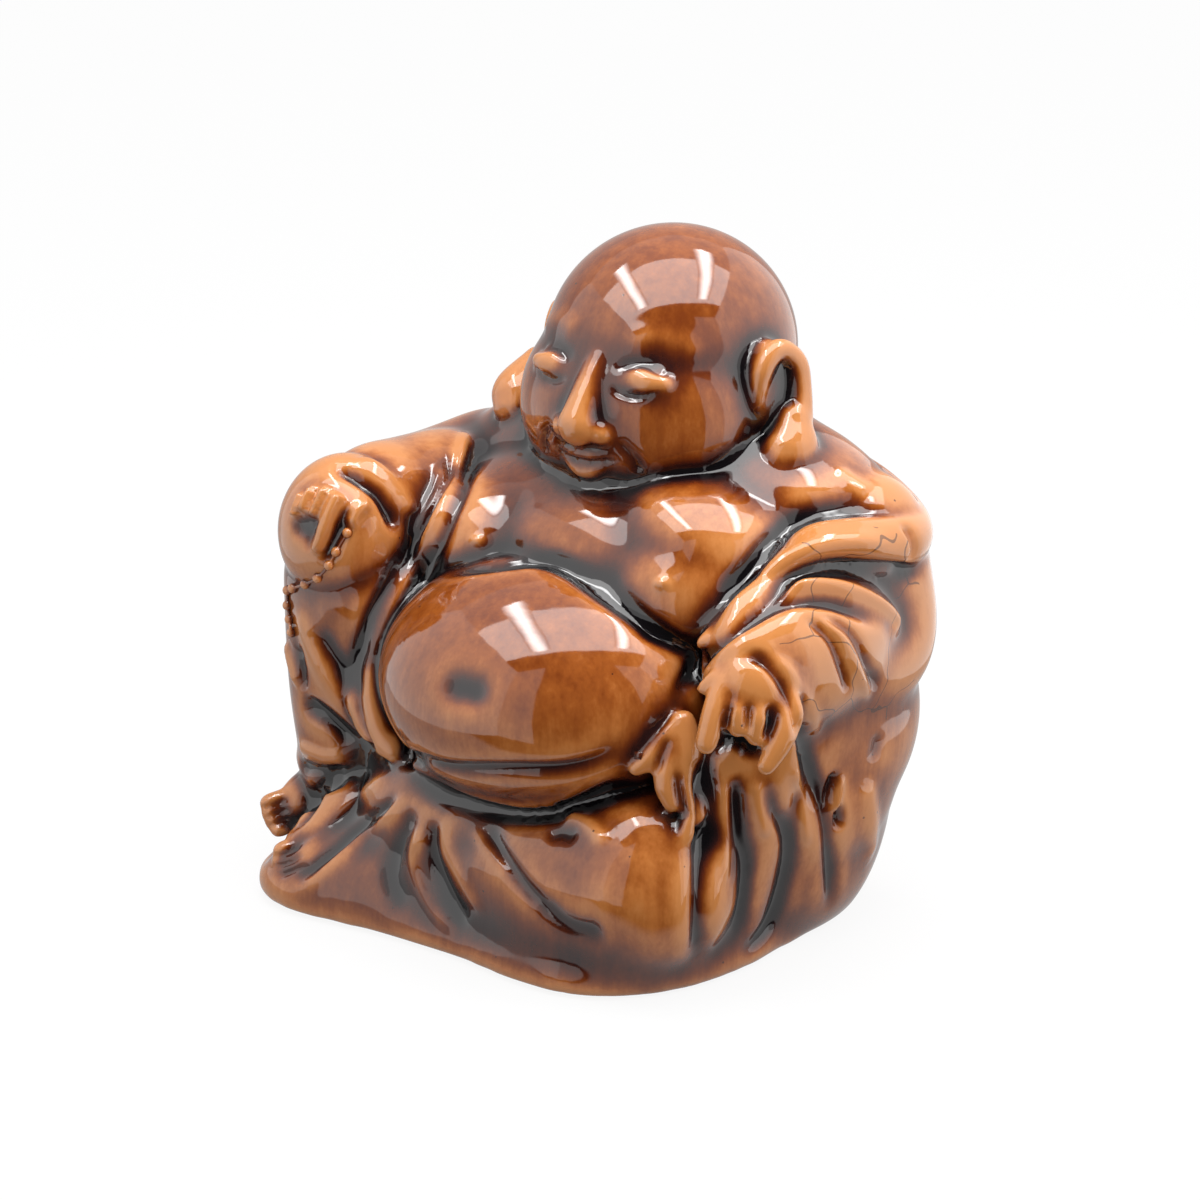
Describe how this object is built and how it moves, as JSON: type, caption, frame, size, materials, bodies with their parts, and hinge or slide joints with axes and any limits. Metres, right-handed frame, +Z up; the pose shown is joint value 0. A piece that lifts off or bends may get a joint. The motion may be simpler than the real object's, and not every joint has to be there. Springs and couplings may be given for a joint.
{
  "type": "laughing buddha statue",
  "caption": "Seated, big-bellied monk figure in glossy brown glazed pottery, hollow cast, with robe, sash and prayer beads.",
  "frame": {"origin": "on the resting face, under the middle of the figure's outline", "axes": "+Z up, the figure faces -Y, its own left is +X"},
  "size_m": [0.1056, 0.0844, 0.113],
  "materials": {
    "amber_glaze": "glossy brown glaze",
    "thin_glaze": "glossy glaze, thin and tan over relief",
    "pooled_glaze": "glossy glaze, pooled and near black"
  },
  "bodies": {
    "root": {"foot_slab": "amber_glaze", "head": "amber_glaze", "chest": "amber_glaze", "belly": "amber_glaze", "left_ear": "thin_glaze", "right_ear": "thin_glaze", "robe_back": "amber_glaze", "left_lapel": "thin_glaze", "right_lapel": "thin_glaze", "waist_sash": "thin_glaze", "right_leg": "amber_glaze", "right_arm": "amber_glaze", "right_sleeve": "amber_glaze", "left_arm": "amber_glaze", "left_leg": "amber_glaze", "right_hand": "thin_glaze", "left_hand": "thin_glaze", "right_foot": "thin_glaze", "left_foot": "thin_glaze", "sash_ribbon": "thin_glaze", "sleeve_lining": "pooled_glaze", "left_sleeve": "amber_glaze", "robe_hem": "amber_glaze", "prayer_beads": "thin_glaze"}
  },
  "joints": []
}
